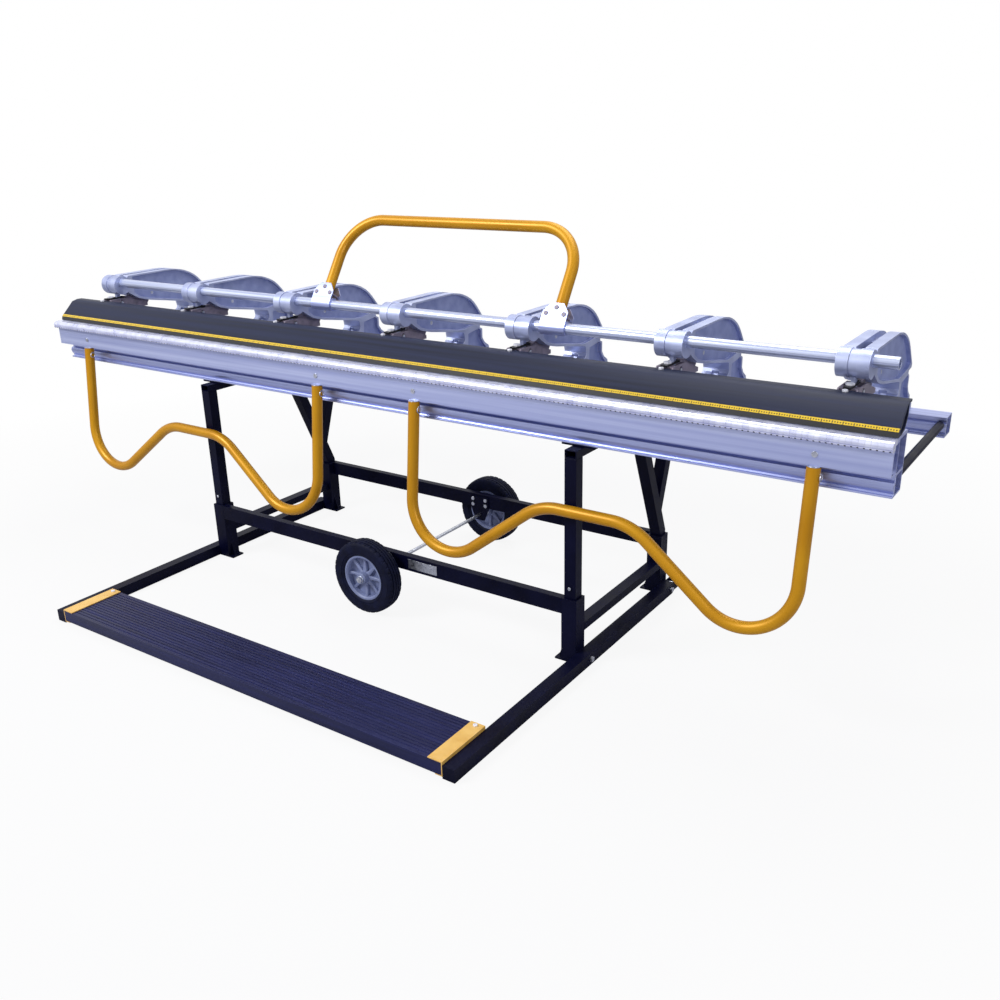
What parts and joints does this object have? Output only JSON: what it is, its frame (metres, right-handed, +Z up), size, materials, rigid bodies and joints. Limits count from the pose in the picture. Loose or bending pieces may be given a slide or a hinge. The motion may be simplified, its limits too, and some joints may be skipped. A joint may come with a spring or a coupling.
{
  "type": "portable siding brake",
  "caption": "Portable siding brake: long hinged bending leaf, bed and cam locked jaw under cast arms, on a wheeled telescoping stand with an operator platform and yellow tube handles.",
  "frame": {"origin": "on the floor, in the middle of the overall box", "axes": "+X along the brake to the operator's right, +Y away from the operator, +Z up"},
  "size_m": [3.2, 1.3654, 1.236],
  "materials": {
    "stand_paint": "black gloss paint on square steel tube",
    "dark_steel": "black painted steel plate",
    "zinc_steel": "bright zinc plated steel",
    "white_bolts": "pale plated bolt heads",
    "deck_paint": "dark navy coated ribbed aluminium plank",
    "clip_paint": "pale yellow gloss paint",
    "tyre": "dark grey tyre rubber",
    "hub": "grey moulded hub",
    "rail_alu": "satin mill finish extrusion",
    "hinge_alu": "satin extrusion with machined knuckles",
    "cast_alu": "cast aluminium with a satin tumbled face",
    "jaw_anodised": "dark blue grey anodised extrusion",
    "nose_black": "black plastic strip",
    "tape": "yellow scale tape with plain marks",
    "lever_paint": "grey brown coated pressed steel",
    "black_link": "black coated flat bar",
    "tube_silver": "bright drawn tube",
    "cam_steel": "machined cam steel",
    "strap_alu": "satin cast strap",
    "grip_paint": "golden yellow gloss paint",
    "leaf_alu": "satin anodised extrusion",
    "tie_black": "black coated round bar"
  },
  "bodies": {
    "stand": {"front_sleeves": "stand_paint", "rear_sleeves": "stand_paint", "side_tubes": "stand_paint", "cross_tubes": "stand_paint", "platform_rails": "stand_paint", "rail_clevises": "dark_steel", "rail_bolts": "zinc_steel", "platform_deck": "deck_paint", "deck_clips": "clip_paint", "deck_bolts": "white_bolts", "axle_brackets": "dark_steel", "axle_bracket_bolts": "zinc_steel", "axle_rod": "zinc_steel", "axle_nuts": "zinc_steel", "blank_plate": "zinc_steel"},
    "wheel_front": {"front_tyre": "tyre", "front_hub": "hub"},
    "wheel_rear": {"rear_tyre": "tyre", "rear_hub": "hub"},
    "head": {"front_posts": "stand_paint", "height_buttons": "zinc_steel", "rear_legs": "stand_paint", "side_bars": "stand_paint", "saddles": "stand_paint", "front_base_rail": "rail_alu", "rear_base_rail": "rail_alu", "tie_rods": "tie_black", "bed_rail": "rail_alu", "bed_hinge": "hinge_alu", "hinge_rod": "zinc_steel", "casting_1": "cast_alu", "casting_2": "cast_alu", "casting_3": "cast_alu", "casting_4": "cast_alu", "casting_5": "cast_alu", "casting_6": "cast_alu", "casting_7": "cast_alu", "casting_bolts": "white_bolts", "pivot_pins": "zinc_steel"},
    "jaw": {"jaw": "jaw_anodised", "nose_strip": "nose_black", "jaw_tape": "tape", "jaw_levers": "lever_paint", "adjuster_links": "black_link", "jaw_bolts": "white_bolts"},
    "locking": {"locking_tube": "tube_silver", "cams": "cam_steel", "locking_handle": "grip_paint", "handle_brackets": "tube_silver", "bracket_rivets": "zinc_steel"},
    "straps": {"cam_straps": "strap_alu", "strap_pins": "zinc_steel"},
    "leaf": {"leaf": "leaf_alu", "leaf_hinge": "leaf_alu", "leaf_sockets": "cam_steel", "bending_handle_left": "grip_paint", "bending_handle_right": "grip_paint", "hitch_pins": "zinc_steel", "leaf_screws": "zinc_steel"}
  },
  "joints": [
    {"name": "height_slide", "type": "slide", "parent": "stand", "child": "head", "axis": [0, 0, 1], "range_m": [0, 0.15]},
    {"name": "lock_turn", "type": "hinge", "parent": "head", "child": "locking", "pos_m": [0, 0.16535, 0.956], "axis": [1, 0, 0], "range_deg": [0, 90]},
    {"name": "strap_swing", "type": "hinge", "parent": "locking", "child": "straps", "pos_m": [0, 0.16535, 0.9465], "axis": [1, 0, 0], "range_deg": [-98.5, 0.5]},
    {"name": "jaw_lift", "type": "hinge", "parent": "head", "child": "jaw", "pos_m": [0, 0.30735, 0.898], "axis": [-1, 0, 0], "range_deg": [0, 3.85]},
    {"name": "leaf_swing", "type": "hinge", "parent": "head", "child": "leaf", "pos_m": [0, -0.02165, 0.806], "axis": [-1, 0, 0], "range_deg": [0, 135]},
    {"name": "front_wheel_spin", "type": "hinge", "parent": "stand", "child": "wheel_front", "pos_m": [0.02, -0.07965, 0.1275], "axis": [0, 1, 0], "continuous": true},
    {"name": "rear_wheel_spin", "type": "hinge", "parent": "stand", "child": "wheel_rear", "pos_m": [0.02, 0.63735, 0.1275], "axis": [0, 1, 0], "continuous": true}
  ],
  "couplings": [
    {"joint": "strap_swing", "follows": "lock_turn", "ratio": -1.0889},
    {"joint": "jaw_lift", "follows": "lock_turn", "ratio": 0.04222}
  ]
}
